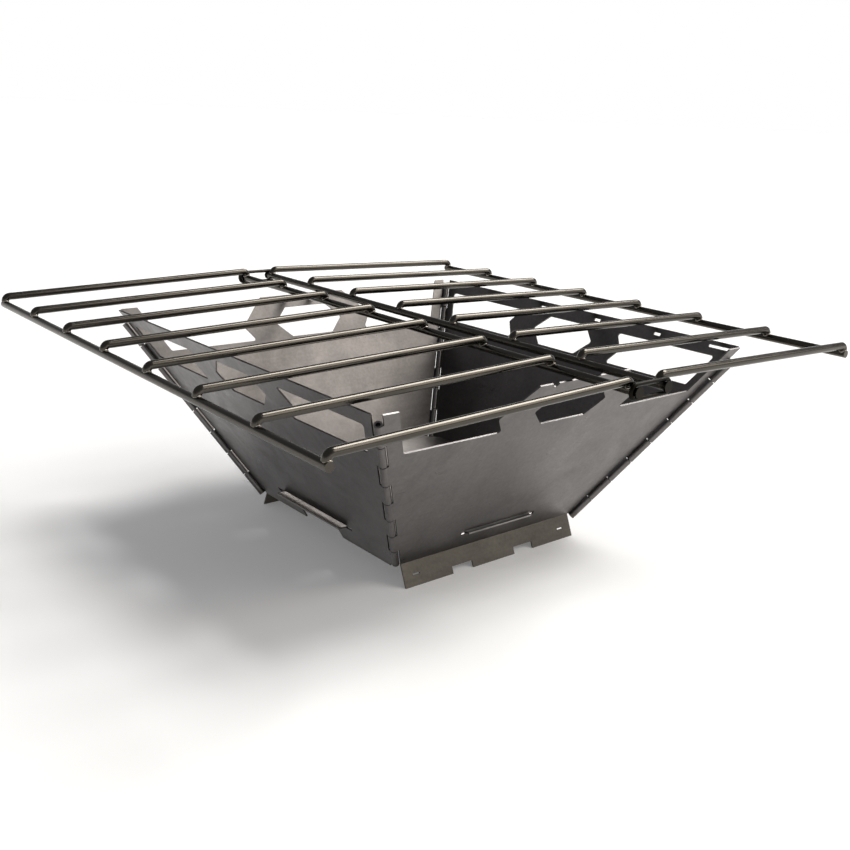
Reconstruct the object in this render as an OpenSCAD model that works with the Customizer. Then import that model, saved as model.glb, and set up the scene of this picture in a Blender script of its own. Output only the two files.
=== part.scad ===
/* [Bowl] */
// Width of the bowl at its base bend line
base_w = 188; // [140:1:260]
// Length of each side panel up its slope
slant = 173; // [120:1:240]
// Lean of each side panel from the vertical
lean = 30; // [15:1:40]
// Thickness of the panel sheet
sheet_t = 1.2; // [0.8:0.1:2]
// Height of the base bend line over the ground
foot_h = 17.2; // [10:0.1:40]
// Splay of the foot flanges from the vertical
foot_splay = 23; // [0:1:40]
// Half length of the foot flanges
foot_half = 88.5; // [60:0.5:120]
// Shift of the bowl toward the front, under the centred grate
bowl_shift = 14; // [-20:1:20]

/* [Corner hinges] */
// Radius of the hinge pins
pin_r = 1.45; // [0.8:0.05:2]
// Outer radius of the rolled knuckles
knuckle_r = 2.8; // [2:0.1:4]
// Length of one knuckle with its gap
knuckle_pitch = 23; // [12:0.5:40]
// Gap between neighbouring knuckles
knuckle_gap = 0.8; // [0.3:0.1:1]
// Setback of each sheet edge from a corner with its knuckles inside
edge_back = 4.9; // [4:0.1:8]
// Setback of each sheet edge from a corner with its knuckles outside
edge_back_out = 3; // [2:0.1:6]
// Radius of the relief holes in the corners with their knuckles outside
relief_r = 1.1; // [0.6:0.1:1.5]

/* [Cut-outs] */
// Height up the panel of the lower edge of the cut-outs
cut_low = 132; // [100:1:150]
// Height up the panel of the upper edge of the cut-outs
cut_high = 160.5; // [140:0.5:168]
// Depth by which the middle strap of the front and back is lower than the rim
strap_drop = 1; // [0.8:0.1:4]
// Half width of the middle window at its widest
window_half = 36; // [20:1:50]
// Radius of the corners of the cut-outs
corner_r = 2; // [0.5:0.5:5]

/* [Base plate] */
// Height of the middle of the base plate over the ground
plate_z = 32.45; // [25:0.05:60]
// Half width of the front and back tongues
tongue_half = 33; // [15:1:45]
// Half width of the left and right tongues
side_tongue_half = 44; // [15:1:60]

/* [Grate] */
// Radius of the grate rods
rod_r = 3; // [1.5:0.1:3.2]
// Distance of each inner frame rod from the middle
hinge_x = 14.5; // [8:0.5:30]
// Distance between the frame rods of one half
half_span = 232; // [150:0.5:300]
// Distance between neighbouring crossbars
bar_pitch = 69.2; // [40:0.1:90]
// Rise of the crossbars over the frame rods
bar_rise = 6.5; // [6.3:0.1:12]
// Radius of the bend at each end of the crossbars
bend_r = 3.8; // [3.7:0.1:6]
// Downward slope of each half toward its outside
tilt = 1.6; // [0:0.1:4]
// Radius of the wire of the link rings
link_r = 1.5; // [1.2:0.1:3]

/* [Hidden] */
$fn = 48;
half_w = base_w / 2;
slope_k = sin(lean);
top_w = half_w + slant * slope_k;
bowl_top = foot_h + slant * cos(lean) + sheet_t * sin(lean);
corner_len = sqrt(1 + slope_k * slope_k);
corner_ang = atan2(1, slope_k);
bisect_k = 0.7746;
depth_in = 0.1 - knuckle_r;
depth_out = knuckle_r - sheet_t - 0.1;
bore_r = knuckle_r - sheet_t;
knuckle_start = -3;
ear_w = 17.4;
rib_w = 13.9;
rod_z = bowl_top + rod_r + 0.3;
bar_count = 8;
bar_first = -bar_pitch * (bar_count - 1) / 2;
bar_last = bar_first + bar_pitch * (bar_count - 1);
link_off = rod_r + 0.6 + link_r;
loop_r = rod_r + 0.3 + link_r;
plate_face = half_w + (plate_z - foot_h) * tan(lean);
plate_half = plate_face - sheet_t / cos(lean) - 0.8;
slot_low = 16.2;
slot_high = 20.2;

// Distance of the corner line from the middle of a panel at a height up the slope
function corner_at(h) = half_w + h * slope_k;

// Distance of the sheet's edge from the middle at a height up the slope
function edge_at(h, back) = corner_at(h) - back * corner_len;

// Unit vector from one point to another
function unit2(a, b) = (b - a) / norm(b - a);

// Points of a rounded corner at b between its neighbours a and c
function arc_points(a, b, c, r) =
  let (u = unit2(b, a))
  let (v = unit2(b, c))
  let (half_ang = acos(u * v) / 2)
  let (mid = (u + v) / norm(u + v))
  let (centre = b + mid * r / sin(half_ang))
  let (p = b + u * r / tan(half_ang))
  let (q = b + v * r / tan(half_ang))
  let (a0 = atan2(p[1] - centre[1], p[0] - centre[0]))
  let (a1 = atan2(q[1] - centre[1], q[0] - centre[0]))
  let (turn = a1 - a0 > 180 ? a1 - a0 - 360 : (a1 - a0 < -180 ? a1 - a0 + 360 : a1 - a0))
  [for (i = [0 : 3]) centre + r * [cos(a0 + turn * i / 3), sin(a0 + turn * i / 3)]];

// A polygon with every corner rounded
module rounded(points, r) {
  n = len(points);
  polygon([
    for (i = [0 : n - 1])
      for (p = arc_points(points[(i + n - 1) % n], points[i], points[(i + 1) % n], r)) p
  ]);
}

// Places a piece of the bowl under the grate
module in_bowl() {
  translate([0, -bowl_shift, 0]) children();
}

// Places a panel drawn flat onto one side of the bowl
module on_side(az) {
  rotate([0, 0, az])
    translate([0, -half_w, foot_h])
      rotate([90 + lean, 0, 0])
        children();
}

// The hexagonal window in the middle of a panel
module middle_window() {
  low_half = window_half - 14;
  mid_h = (cut_low + cut_high) / 2;
  rounded([
    [-low_half, cut_low], [low_half, cut_low], [window_half, mid_h],
    [low_half, cut_high], [-low_half, cut_high], [-window_half, mid_h]
  ], corner_r);
}

// The window beside a corner of a side panel
module end_window() {
  mid_h = (cut_low + cut_high) / 2;
  rounded([
    [59, cut_low], [corner_at(cut_low) - rib_w, cut_low],
    [corner_at(cut_high) - rib_w, cut_high], [59, cut_high], [69, mid_h]
  ], corner_r);
}

// One half of the deep notches in the top of the front and back panels
module top_notch() {
  mid_h = (cut_low + cut_high) / 2;
  rounded([
    [59, cut_low], [corner_at(cut_low) - ear_w, cut_low],
    [corner_at(slant + 10) - ear_w, slant + 10], [34.7, slant + 10], [69, mid_h]
  ], corner_r);
}

// The trapezoid of sheet, with the setback of its left and right edges
module sheet_outline(low, left, right) {
  polygon([
    [-edge_at(low, left), low], [edge_at(low, right), low],
    [edge_at(slant, right), slant], [-edge_at(slant, left), slant]
  ]);
}

// The cut-outs shared by the front and back panels
module front_holes() {
  middle_window();
  top_notch();
  mirror([1, 0]) top_notch();
  translate([-38, slot_low]) square([76, slot_high - slot_low]);
  translate([-50, slant - strap_drop]) square([100, 10]);
  translate([-30, slant - strap_drop]) circle(r = 3);
}

// The cut-outs shared by the left and right panels
module side_holes() {
  middle_window();
  end_window();
  mirror([1, 0]) end_window();
  translate([-52, slot_low]) square([104, slot_high - slot_low]);
  translate([-26, -10]) square([52, 17]);
}

// Places a thing drawn along X onto the right corner line of a flat panel
module on_corner() {
  translate([half_w, 0, 0]) rotate([0, 0, corner_ang]) children();
}

// A round bar along the right corner at this depth, from one length to another
module along_corner(from, to, r, depth) {
  on_corner()
    translate([from, -depth * bisect_k, depth])
      rotate([0, 90, 0])
        cylinder(r = r, h = to - from);
}

// The strip of sheet that joins one knuckle to the panel
module finger(from, to, depth, back) {
  inner = 0.8 - depth * bisect_k;
  on_corner()
    translate([from, inner, -sheet_t])
      cube([to - from, back + 2 - inner, sheet_t]);
}

// Four knuckles along the right corner, on every second place
module knuckles(first, depth, back) {
  for (i = [first : 2 : 7]) {
    from = knuckle_start + knuckle_pitch * i + knuckle_gap / 2;
    to = from + knuckle_pitch - knuckle_gap;
    difference() {
      union() {
        along_corner(from, to, knuckle_r, depth);
        finger(from, to, depth, back);
      }
      along_corner(from - 1, to + 1, bore_r, depth);
    }
  }
}

// Relief holes at the root of every second slit of the right corner
module reliefs() {
  on_corner()
    for (i = [1 : 2 : 7])
      translate([knuckle_start + knuckle_pitch * i, 2.5, -sheet_t - 1])
        cylinder(r = relief_r, h = sheet_t + 1.3);
}

// A flat panel with its knuckles, outside on its right corner and inside on its left
module hinged_sheet(first, low) {
  difference() {
    union() {
      translate([0, 0, -sheet_t])
        linear_extrude(sheet_t)
          difference() {
            sheet_outline(low, edge_back, edge_back_out);
            children();
          }
      knuckles(first, depth_out, edge_back_out);
      mirror([1, 0, 0]) knuckles(first, depth_in, edge_back);
    }
    reliefs();
  }
}

// The splayed foot flange, in the frame of the front of the bowl
module foot_flange() {
  run = foot_h * tan(foot_splay);
  fold = (lean + foot_splay) / 2;
  miter = sheet_t / cos(fold);
  turn = (lean - foot_splay) / 2;
  up = [-sin(lean), cos(lean)];
  into = [cos(lean), sin(lean)];
  difference() {
    translate([-foot_half, 0, 0])
      rotate([90, 0, 90])
        linear_extrude(2 * foot_half)
          polygon([
            [-half_w, foot_h], [-half_w - run, 0],
            [-half_w - run + sheet_t / cos(foot_splay), 0],
            [-half_w + miter * cos(turn), foot_h + miter * sin(turn)],
            [-half_w, foot_h] + into * sheet_t + up,
            [-half_w, foot_h] + up
          ]);
    for (s = [-1, 1]) {
      translate([s * 32.2 - 10.2, -half_w - 20, -1]) cube([20.4, 30, 6.2]);
      translate([s * 76.5, -half_w, foot_h])
        rotate([-foot_splay, 0, 0])
          translate([-3.2, -3, -10.6])
            cube([6.4, 6, 1.2]);
    }
  }
}

// Front or back panel, in the frame of the front of the bowl
module footed_panel() {
  on_side(0) hinged_sheet(1, 0) front_holes();
  foot_flange();
}

module front_panel() {
  color([0.45, 0.44, 0.42]) in_bowl() footed_panel();
}

module back_panel() {
  color([0.45, 0.44, 0.42]) in_bowl() rotate([0, 0, 180]) footed_panel();
}

// Left or right panel, drawn as its mirror image
module side_sheet(vents) {
  mirror([1, 0, 0])
    hinged_sheet(0, -3) {
      side_holes();
      if (vents) {
        for (s = [-102, -35, 32, 99])
          translate([s - 3.5, 166.2]) square([7, 2.6]);
        translate([151, 167]) square([29, 2.4]);
      }
    }
}

module left_panel() {
  color([0.4, 0.39, 0.37]) in_bowl() on_side(-90) side_sheet(false);
}

module right_panel() {
  color([0.4, 0.39, 0.37]) in_bowl() on_side(90) side_sheet(true);
}

// A hinge pin along the right corner of the panel at this angle
module corner_pin(az, depth) {
  reach = knuckle_pitch * 8;
  in_bowl()
    on_side(az)
      along_corner(knuckle_start + 0.8, knuckle_start + reach - 3, pin_r, depth);
}

module pin_front_right() {
  color([0.6, 0.6, 0.58]) corner_pin(0, depth_out);
}

module pin_back_right() {
  color([0.6, 0.6, 0.58]) corner_pin(90, depth_in);
}

module pin_back_left() {
  color([0.6, 0.6, 0.58]) corner_pin(180, depth_out);
}

module pin_front_left() {
  color([0.6, 0.6, 0.58]) corner_pin(-90, depth_in);
}

module base_plate() {
  cut = 14;
  front_reach = plate_face + 3;
  side_reach = plate_face + 7;
  color([0.5, 0.49, 0.47])
    translate([0, -bowl_shift, plate_z - sheet_t / 2])
      linear_extrude(sheet_t)
        union() {
          polygon([
            [-plate_half + cut, -plate_half], [plate_half - cut, -plate_half],
            [plate_half, -plate_half + cut], [plate_half, plate_half - cut],
            [plate_half - cut, plate_half], [-plate_half + cut, plate_half],
            [-plate_half, plate_half - cut], [-plate_half, -plate_half + cut]
          ]);
          square([2 * tongue_half, 2 * front_reach], center = true);
          square([2 * side_reach, 2 * side_tongue_half], center = true);
        }
}

// Places one half of the grate, drawn along +X from its inner rod
module on_half(side) {
  translate([side * hinge_x, 0, rod_z])
    rotate([0, side * tilt, 0])
      mirror([side < 0 ? 1 : 0, 0, 0])
        children();
}

// A frame rod along Y
module frame_rod(x, before, after) {
  translate([x, bar_first - before, 0])
    rotate([-90, 0, 0])
      cylinder(r = rod_r, h = bar_last - bar_first + before + after);
}

// A thin stop disc on the end of an inner rod
module stop_disc(y) {
  translate([0, y, 0])
    rotate([-90, 0, 0])
      cylinder(r = rod_r + 0.9, h = 1.2);
}

// The inner frame rod of a half, long enough to carry the link rings
module inner_rod() {
  reach = rod_r + 2 * link_r + 1.2;
  frame_rod(0, reach, reach);
  stop_disc(bar_first - reach - 1.2);
  stop_disc(bar_last + reach);
}

module left_outer_rod() {
  color([0.35, 0.34, 0.3]) on_half(-1) frame_rod(half_span, rod_r, rod_r);
}

module right_outer_rod() {
  color([0.35, 0.34, 0.3]) on_half(1) frame_rod(half_span, rod_r, rod_r);
}

module left_inner_rod() {
  color([0.35, 0.34, 0.3]) on_half(-1) inner_rod();
}

module right_inner_rod() {
  color([0.35, 0.34, 0.3]) on_half(1) inner_rod();
}

// The bent end of a crossbar, turned down onto a frame rod
module bar_end() {
  difference() {
    translate([bend_r, 0, bar_rise - bend_r])
      rotate([90, 0, 0])
        rotate([0, 0, 90])
          rotate_extrude(angle = 90)
            translate([bend_r, 0])
              circle(r = rod_r);
    translate([0, -10, 0])
      rotate([-90, 0, 0])
        cylinder(r = rod_r, h = 20);
    translate([-10, -10, rod_r - 20.15]) cube([20, 20, 20]);
  }
}

// One crossbar, counted from the back
module crossbar(side, index) {
  color([0.35, 0.34, 0.3])
    on_half(side)
      translate([0, bar_last - bar_pitch * (index - 1), 0]) {
        translate([bend_r, 0, bar_rise])
          rotate([0, 90, 0])
            cylinder(r = rod_r, h = half_span - 2 * bend_r);
        bar_end();
        translate([half_span, 0, 0]) mirror([1, 0, 0]) bar_end();
      }
}

module left_bar_1() { crossbar(-1, 1); }
module left_bar_2() { crossbar(-1, 2); }
module left_bar_3() { crossbar(-1, 3); }
module left_bar_4() { crossbar(-1, 4); }
module left_bar_5() { crossbar(-1, 5); }
module left_bar_6() { crossbar(-1, 6); }
module left_bar_7() { crossbar(-1, 7); }
module left_bar_8() { crossbar(-1, 8); }
module right_bar_1() { crossbar(1, 1); }
module right_bar_2() { crossbar(1, 2); }
module right_bar_3() { crossbar(1, 3); }
module right_bar_4() { crossbar(1, 4); }
module right_bar_5() { crossbar(1, 5); }
module right_bar_6() { crossbar(1, 6); }
module right_bar_7() { crossbar(1, 7); }
module right_bar_8() { crossbar(1, 8); }

// An oval ring of wire around the ends of both inner rods
module link_ring(y) {
  translate([0, y, rod_z])
    rotate([90, 0, 0]) {
      for (s = [-1, 1]) {
        translate([-hinge_x, s * loop_r, 0])
          rotate([0, 90, 0])
            cylinder(r = link_r, h = 2 * hinge_x);
        translate([s * hinge_x, 0, 0])
          rotate([0, 0, s > 0 ? -90 : 90])
            rotate_extrude(angle = 180)
              translate([loop_r, 0])
                circle(r = link_r);
      }
    }
}

module front_link() {
  color([0.2, 0.2, 0.19]) link_ring(bar_first - link_off);
}

module back_link() {
  color([0.2, 0.2, 0.19]) link_ring(bar_last + link_off);
}

front_panel();
back_panel();
left_panel();
right_panel();
base_plate();
pin_front_left();
pin_front_right();
pin_back_right();
pin_back_left();
left_outer_rod();
left_inner_rod();
right_inner_rod();
right_outer_rod();
left_bar_1();
left_bar_2();
left_bar_3();
left_bar_4();
left_bar_5();
left_bar_6();
left_bar_7();
left_bar_8();
right_bar_1();
right_bar_2();
right_bar_3();
right_bar_4();
right_bar_5();
right_bar_6();
right_bar_7();
right_bar_8();
front_link();
back_link();
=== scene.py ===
import math
import random

import bmesh
import bpy
from mathutils import Matrix, Vector


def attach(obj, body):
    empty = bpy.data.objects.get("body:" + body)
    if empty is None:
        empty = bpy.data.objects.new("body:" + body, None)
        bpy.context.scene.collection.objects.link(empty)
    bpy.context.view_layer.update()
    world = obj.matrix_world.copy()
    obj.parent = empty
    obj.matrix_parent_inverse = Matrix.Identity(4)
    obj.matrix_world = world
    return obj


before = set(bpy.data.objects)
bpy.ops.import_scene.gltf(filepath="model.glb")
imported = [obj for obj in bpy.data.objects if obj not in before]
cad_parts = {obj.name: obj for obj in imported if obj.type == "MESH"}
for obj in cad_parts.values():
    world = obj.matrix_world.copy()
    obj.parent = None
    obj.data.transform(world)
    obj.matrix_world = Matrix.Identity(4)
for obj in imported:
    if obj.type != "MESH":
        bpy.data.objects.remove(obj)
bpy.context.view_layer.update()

MM = 0.001

# ---------------------------------------------------------------- node helpers


def new_material(name):
    mat = bpy.data.materials.new(name)
    mat.use_nodes = True
    tree = mat.node_tree
    tree.nodes.clear()
    out = tree.nodes.new("ShaderNodeOutputMaterial")
    bsdf = tree.nodes.new("ShaderNodeBsdfPrincipled")
    tree.links.new(bsdf.outputs["BSDF"], out.inputs["Surface"])
    return mat, tree, bsdf


def coords(tree, scale=(1, 1, 1)):
    """Object coordinates in metres, stretched along an axis whose scale is small."""
    tex = tree.nodes.new("ShaderNodeTexCoord")
    mapping = tree.nodes.new("ShaderNodeMapping")
    mapping.inputs["Scale"].default_value = scale
    tree.links.new(tex.outputs["Object"], mapping.inputs["Vector"])
    return mapping.outputs["Vector"]


def noise(tree, vector, scale, detail, rough, warp=0.0):
    node = tree.nodes.new("ShaderNodeTexNoise")
    node.inputs["Scale"].default_value = scale
    node.inputs["Detail"].default_value = detail
    node.inputs["Roughness"].default_value = rough
    node.inputs["Distortion"].default_value = warp
    tree.links.new(vector, node.inputs["Vector"])
    return node.outputs["Fac"]


def ramp(tree, value, stops):
    """A colour read from stops, each a place from 0 to 1 and a colour."""
    node = tree.nodes.new("ShaderNodeValToRGB")
    band = node.color_ramp
    while len(band.elements) < len(stops):
        band.elements.new(0.5)
    for item, (pos, colour) in zip(band.elements, stops):
        item.position = pos
        item.color = (*colour, 1.0)
    tree.links.new(value, node.inputs["Fac"])
    return node.outputs["Color"]


def spread(tree, value, low, high, to_low, to_high):
    """Turns the range low to high into the range to_low to to_high, clamped."""
    node = tree.nodes.new("ShaderNodeMapRange")
    for key, number in (
        ("From Min", low),
        ("From Max", high),
        ("To Min", to_low),
        ("To Max", to_high),
    ):
        node.inputs[key].default_value = number
    tree.links.new(value, node.inputs["Value"])
    return node.outputs["Result"]


def maths(tree, kind, a, b=None):
    node = tree.nodes.new("ShaderNodeMath")
    node.operation = kind
    for slot, item in zip(node.inputs, (a, b)):
        if item is None:
            continue
        if isinstance(item, (int, float)):
            slot.default_value = item
        else:
            tree.links.new(item, slot)
    return node.outputs["Value"]


def blend_colours(tree, fac, a, b, kind="MIX"):
    """Mixes two colours, each a socket or a plain colour."""
    node = tree.nodes.new("ShaderNodeMix")
    node.data_type = "RGBA"
    node.blend_type = kind
    for name, item in (("Factor", fac), ("A", a), ("B", b)):
        slot = [s for s in node.inputs if s.name == name and s.enabled][0]
        if isinstance(item, (int, float)):
            slot.default_value = item
        elif isinstance(item, tuple):
            slot.default_value = (*item, 1.0)
        else:
            tree.links.new(item, slot)
    return [s for s in node.outputs if s.enabled][0]


def multiply(tree, a, b):
    return blend_colours(tree, 1.0, a, b, "MULTIPLY")


def shades(tone, dark, light):
    """A darker and a lighter version of a tone."""
    return tuple(c * dark for c in tone), tuple(c * light for c in tone)


def axes(tree, vector):
    """The X, Y and Z parts of a vector."""
    parts = tree.nodes.new("ShaderNodeSeparateXYZ")
    tree.links.new(vector, parts.inputs["Vector"])
    return parts.outputs


def bump(tree, height, strength, distance, under=None):
    """A bump of the given depth in metres, on top of another one where given."""
    node = tree.nodes.new("ShaderNodeBump")
    node.inputs["Strength"].default_value = strength
    node.inputs["Distance"].default_value = distance
    tree.links.new(height, node.inputs["Height"])
    if under is not None:
        tree.links.new(under, node.inputs["Normal"])
    return node.outputs["Normal"]


# ------------------------------------------------------------------- materials


WHITE = (1.0, 1.0, 1.0)
# The foot flanges are browner than the sheet above them, which is their own tone, and darker,
# which is painted shade standing in for their dim reflection.
FOOT_TINT_AND_SHADE = (0.74, 0.71, 0.62)
FOOT_FADE = (0.0165, 0.0195)
# The rod ends are darkened: painted shade for ends that sit in shadow.
HEAD_SHADE = (0.22, 0.21, 0.19)
HEAD_SHADE_FADE = (0.2453, 0.2477)


def sheet_steel(name, grain, tone, rough=0.34):
    """Cold-rolled stainless sheet: faint rolling grain, cloudy tone, specks and smudges."""
    mat, tree, bsdf = new_material(name)
    flat = coords(tree)
    along = coords(tree, grain)
    cloud = noise(tree, flat, 16.0, 5.0, 0.6, 0.6)
    mottle = noise(tree, flat, 380.0, 5.0, 0.65)
    streak = noise(tree, along, 260.0, 3.0, 0.6)
    grit = noise(tree, flat, 2600.0, 2.0, 0.5)
    dark, light = shades(tone, 0.80, 1.14)
    base = ramp(tree, cloud, [(0.30, dark), (0.52, tone), (0.74, light)])
    speck = ramp(tree, mottle, [(0.30, (0.80, 0.795, 0.79)), (0.70, WHITE)])
    base = multiply(tree, base, speck)
    lines = ramp(tree, streak, [(0.35, (0.92, 0.92, 0.92)), (0.65, WHITE)])
    base = multiply(tree, base, lines)
    # Toward the foot the sheet is made browner, its own tone, and darker, a painted shade for the
    # dim reflection there.
    low = spread(tree, axes(tree, flat)["Z"], *FOOT_FADE, 1.0, 0.0)
    base = blend_colours(tree, low, base, multiply(tree, base, FOOT_TINT_AND_SHADE))
    tree.links.new(base, bsdf.inputs["Base Color"])
    smudge = noise(tree, flat, 34.0, 5.0, 0.65, 1.2)
    worn = spread(tree, smudge, 0.35, 0.7, rough - 0.05, rough + 0.09)
    fine = spread(tree, streak, 0.3, 0.7, -0.03, 0.03)
    tree.links.new(maths(tree, "ADD", worn, fine), bsdf.inputs["Roughness"])
    normal = bump(tree, streak, 0.10, 0.00010)
    normal = bump(tree, grit, 0.10, 0.00004, normal)
    normal = bump(tree, cloud, 0.18, 0.0008, normal)
    tree.links.new(normal, bsdf.inputs["Normal"])
    bsdf.inputs["Metallic"].default_value = 1.0
    return mat


def rod_steel(name, tone, rough, grain=(1, 1, 1)):
    """Drawn round rod: long die lines, small tone changes, dull patches and painted shade on the
    rod ends.
    """
    mat, tree, bsdf = new_material(name)
    flat = coords(tree)
    along = coords(tree, grain)
    cloud = noise(tree, flat, 24.0, 3.0, 0.5, 0.2)
    lines = noise(tree, along, 900.0, 2.0, 0.5)
    dark, light = shades(tone, 0.88, 1.06)
    base = ramp(tree, cloud, [(0.32, dark), (0.52, tone), (0.75, light)])
    veil = ramp(tree, lines, [(0.35, (0.965, 0.96, 0.95)), (0.62, WHITE)])
    base = multiply(tree, base, veil)
    # Painted shade: the rod ends past the mask are darkened as if in shadow.
    reach = maths(tree, "ABSOLUTE", axes(tree, flat)["Y"])
    painted_end_shade = spread(tree, reach, *HEAD_SHADE_FADE, 0.0, 1.0)
    base = blend_colours(tree, painted_end_shade, base, multiply(tree, base, HEAD_SHADE))
    tree.links.new(base, bsdf.inputs["Base Color"])
    dull = spread(tree, noise(tree, flat, 60.0, 3.0, 0.5), 0.35, 0.7, rough - 0.02, rough + 0.03)
    tree.links.new(dull, bsdf.inputs["Roughness"])
    tree.links.new(bump(tree, lines, 0.03, 0.00004), bsdf.inputs["Normal"])
    bsdf.inputs["Metallic"].default_value = 1.0
    return mat


def weld_steel(name):
    """Weld metal: rippled, partly bright and partly oxidised."""
    mat, tree, bsdf = new_material(name)
    flat = coords(tree)
    patch = noise(tree, flat, 420.0, 4.0, 0.65, 0.5)
    base = ramp(
        tree,
        patch,
        [(0.30, (0.16, 0.13, 0.10)), (0.50, (0.34, 0.31, 0.27)), (0.70, (0.55, 0.52, 0.47))],
    )
    tree.links.new(base, bsdf.inputs["Base Color"])
    tree.links.new(spread(tree, patch, 0.3, 0.7, 0.5, 0.26), bsdf.inputs["Roughness"])
    grit = noise(tree, flat, 1800.0, 3.0, 0.6)
    tree.links.new(bump(tree, grit, 0.35, 0.00015), bsdf.inputs["Normal"])
    bsdf.inputs["Metallic"].default_value = 1.0
    return mat


SHEET_TONE = (0.170, 0.161, 0.158)
ROD_TONE = (0.072, 0.066, 0.057)
MATS = {
    "sheet_x": sheet_steel("sheet_steel_x", (0.05, 1, 1), SHEET_TONE),
    "sheet_y": sheet_steel("sheet_steel_y", (1, 0.05, 1), SHEET_TONE),
    "plate": sheet_steel("plate_steel", (1, 0.05, 1), (0.30, 0.287, 0.272)),
    "pin": rod_steel("pin_steel", (0.11, 0.105, 0.10), 0.40),
    "rod_y": rod_steel("rod_steel_y", ROD_TONE, 0.20, (1, 0.04, 1)),
    "rod_x": rod_steel("rod_steel_x", ROD_TONE, 0.20, (0.04, 1, 1)),
    "link": rod_steel("link_steel", (0.045, 0.042, 0.037), 0.36),
    "weld": weld_steel("weld_steel"),
}

NODE_MATS = {
    "front_panel": "sheet_x",
    "back_panel": "sheet_x",
    "left_panel": "sheet_y",
    "right_panel": "sheet_y",
    "base_plate": "plate",
    "front_link": "link",
    "back_link": "link",
}


def material_for(node):
    if node in NODE_MATS:
        return MATS[NODE_MATS[node]]
    if node.startswith("pin"):
        return MATS["pin"]
    return MATS["rod_x" if "_bar_" in node else "rod_y"]


for node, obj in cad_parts.items():
    for slot in obj.material_slots:
        slot.link = "OBJECT"
        slot.material = material_for(node)


def soften(obj, width, angle):
    """Breaks the edges of a CAD node that are sharper than the angle, as a modifier."""
    mod = obj.modifiers.new("edge_break", "BEVEL")
    mod.width = width
    mod.segments = 2
    mod.limit_method = "ANGLE"
    mod.angle_limit = math.radians(angle)


# ------------------------------------------------------------------ weld beads

# The grate's own sizes in millimetres, as in the part.
LEAN = math.radians(30)
FOOT = 17.2
SLANT = 173.0
SHEET_T = 1.2
GRATE_GAP = 0.3
ROD_R = 3.0
ROD_Z = FOOT + SLANT * math.cos(LEAN) + SHEET_T * math.sin(LEAN) + ROD_R + GRATE_GAP
HINGE_X = 14.5
HALF_SPAN = 232.0
BARS = 8
BAR_PITCH = 69.2
BAR_FIRST = -BAR_PITCH * (BARS - 1) / 2
TILT = math.radians(1.6)

# A bead is a ring of weld metal: its half widths across and along the rod, its
# shift toward the bar, its thickness, its ripples and its height over the rod.
BEAD_X = 2.35
BEAD_Y = 2.8
BEAD_SHIFT = 0.4
BEAD_R = 0.55
BEAD_RIPPLE = 0.08
BEAD_JITTER = 0.04
BEAD_RISE = 0.3


def half_matrix(side):
    """The frame of one half of the grate, drawn along +X from its inner rod."""
    turn = Matrix.Rotation(side * TILT, 4, "Y")
    flip = Matrix.Diagonal((-1, 1, 1, 1)) if side < 0 else Matrix.Identity(4)
    return Matrix.Translation((side * HINGE_X, 0, ROD_Z)) @ turn @ flip


def bead(bm, centre, lean, rng):
    """A rippled fillet where a bar's foot stands on a rod."""
    around, across = 40, 10
    rings = []
    phase = rng.uniform(0, 6.28)
    for i in range(around):
        a = 2 * math.pi * i / around
        ripple = BEAD_RIPPLE * math.sin(9 * a + phase) + rng.uniform(-BEAD_JITTER, BEAD_JITTER)
        radius = BEAD_R + ripple
        ca, sa = math.cos(a), math.sin(a)
        x = BEAD_X * ca + lean * BEAD_SHIFT
        z = math.sqrt(max(0.0, ROD_R**2 - x * x)) + BEAD_RISE
        mid = Vector((x, BEAD_Y * sa, z))
        out = Vector((ca, sa, 0))
        ring = []
        for j in range(across):
            b = 2 * math.pi * j / across
            p = mid + radius * (math.cos(b) * out + 0.9 * math.sin(b) * Vector((0, 0, 1)))
            ring.append(bm.verts.new((centre + p) * MM))
        rings.append(ring)
    for i in range(around):
        here, after = rings[i], rings[(i + 1) % around]
        for j in range(across):
            k = (j + 1) % across
            bm.faces.new((here[j], here[k], after[k], after[j]))


def weld_beads(side, name, body):
    """All the beads of one half of the grate, which ride with it."""
    rng = random.Random(11 + side)
    bm = bmesh.new()
    for k in range(BARS):
        y = BAR_FIRST + BAR_PITCH * k
        bead(bm, Vector((0, y, 0)), 1, rng)
        bead(bm, Vector((HALF_SPAN, y, 0)), -1, rng)
    place = half_matrix(side)
    place.translation *= MM
    bm.transform(place)
    bmesh.ops.recalc_face_normals(bm, faces=bm.faces)
    mesh = bpy.data.meshes.new(name)
    bm.to_mesh(mesh)
    bm.free()
    for face in mesh.polygons:
        face.use_smooth = True
    obj = bpy.data.objects.new(name, mesh)
    bpy.context.scene.collection.objects.link(obj)
    mesh.materials.append(MATS["weld"])
    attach(obj, body)


weld_beads(-1, "welds_left", "grate_left")
weld_beads(1, "welds_right", "grate_right")

# ----------------------------------------------------------------------- stage


FLOOR_R = 60.0
FLOOR_SIDES = 48
FLOOR_TONE = (0.84, 0.84, 0.84)
FLOOR_GLOW = (0.14, 0.30)
FLOOR_FADE = (0.7, 1.8)


def floor_material():
    """A pale floor lit a little from below, as a light table is, and more so far out."""
    mat, tree, bsdf = new_material("studio_white")
    bsdf.inputs["Base Color"].default_value = (*FLOOR_TONE, 1.0)
    bsdf.inputs["Roughness"].default_value = 1.0
    bsdf.inputs["Emission Color"].default_value = (1.0, 1.0, 1.0, 1.0)
    reach = tree.nodes.new("ShaderNodeVectorMath")
    reach.operation = "LENGTH"
    tree.links.new(coords(tree), reach.inputs[0])
    glow = spread(tree, reach.outputs["Value"], *FLOOR_FADE, *FLOOR_GLOW)
    tree.links.new(glow, bsdf.inputs["Emission Strength"])
    return mat


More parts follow.
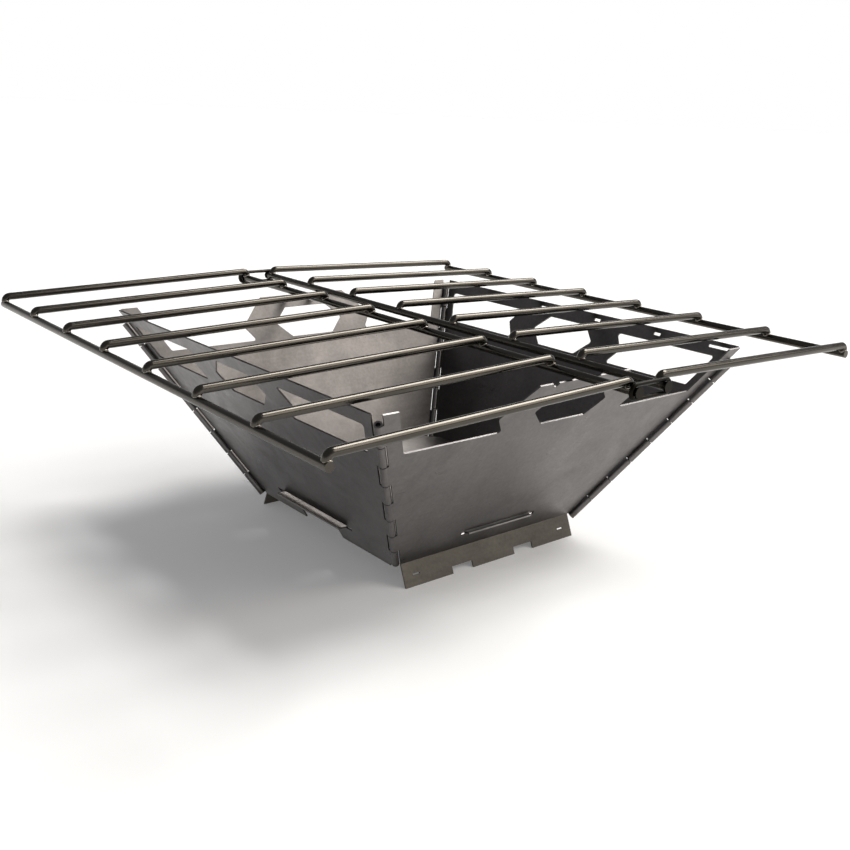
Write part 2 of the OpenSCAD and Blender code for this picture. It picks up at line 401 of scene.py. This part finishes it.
def build_stage():
    """A wide pale floor."""
    bm = bmesh.new()
    turns = [2 * math.pi * k / FLOOR_SIDES for k in range(FLOOR_SIDES)]
    bm.faces.new([bm.verts.new((FLOOR_R * math.cos(a), FLOOR_R * math.sin(a), 0)) for a in turns])
    mesh = bpy.data.meshes.new("studio_floor")
    bm.to_mesh(mesh)
    bm.free()
    floor = bpy.data.objects.new("studio_floor", mesh)
    bpy.context.scene.collection.objects.link(floor)
    mesh.materials.append(floor_material())


def aim_light(name, data, place, aim, colour):
    data.color = colour
    obj = bpy.data.objects.new(name, data)
    obj.location = place
    obj.rotation_euler = (Vector(aim) - Vector(place)).to_track_quat("-Z", "Y").to_euler()
    bpy.context.scene.collection.objects.link(obj)


def area_light(name, place, size, glow, colour):
    """A softbox whose face glows at the given radiance, aimed at the bowl."""
    data = bpy.data.lights.new(name, "AREA")
    data.shape = "RECTANGLE"
    data.size, data.size_y = size
    data.energy = glow * math.pi * size[0] * size[1]
    aim_light(name, data, place, (0, 0, 0.1), colour)


CEILING = (0.22, 0.22, 0.225)
CEILING_FADE = (0.14, 0.26)


def build_light():
    """A white horizon under a dim ceiling, one broad soft overhead light and a softbox."""
    world = bpy.data.worlds.new("studio")
    bpy.context.scene.world = world
    world.use_nodes = True
    tree = world.node_tree
    back = tree.nodes["Background"]
    tex = tree.nodes.new("ShaderNodeTexCoord")
    height = spread(tree, axes(tree, tex.outputs["Generated"])["Z"], *CEILING_FADE, 0.0, 1.0)
    sky = ramp(tree, height, [(0.0, WHITE), (1.0, CEILING)])
    tree.links.new(sky, back.inputs["Color"])
    back.inputs["Strength"].default_value = 1.0
    sun = bpy.data.lights.new("overhead", "SUN")
    sun.energy = 3.0
    sun.angle = math.radians(30)
    aim_light("overhead", sun, (0.61, -0.05, 0.79), (0, 0, 0), (1.0, 0.985, 0.96))
    area_light("softbox_right", (1.5, -1.6, 1.55), (1.9, 1.4), 3.25, (1.0, 0.94, 0.86))


CAMERA_PLACE = (-0.51810, -0.64244, 0.33648)
CAMERA_RIGHT = (0.77397, -0.63194, 0.04034)
CAMERA_AHEAD = (0.61302, 0.73179, -0.29780)
CAMERA_LENS = 43.2424


def build_camera():
    """The camera, held by where it stands, where it looks and which way is right."""
    data = bpy.data.cameras.new("camera")
    data.sensor_width = 36.0
    data.sensor_fit = "HORIZONTAL"
    data.lens = CAMERA_LENS
    data.shift_x = -0.0006
    data.shift_y = 0.0036
    data.clip_start = 0.05
    data.clip_end = 50.0
    cam = bpy.data.objects.new("camera", data)
    ahead = Vector(CAMERA_AHEAD).normalized()
    right = Vector(CAMERA_RIGHT)
    right = (right - right.dot(ahead) * ahead).normalized()
    up = right.cross(ahead)
    turn = Matrix((right, up, -ahead)).transposed().to_4x4()
    cam.matrix_world = Matrix.Translation(CAMERA_PLACE) @ turn
    bpy.context.scene.collection.objects.link(cam)
    bpy.context.scene.camera = cam


build_stage()
build_light()
build_camera()
bpy.context.scene.view_settings.view_transform = "Standard"

for node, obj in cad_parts.items():
    if "panel" in node or node == "base_plate":
        soften(obj, 0.00012, 35.0)
    elif "rod" in node or "bar" in node:
        soften(obj, 0.00030, 50.0)
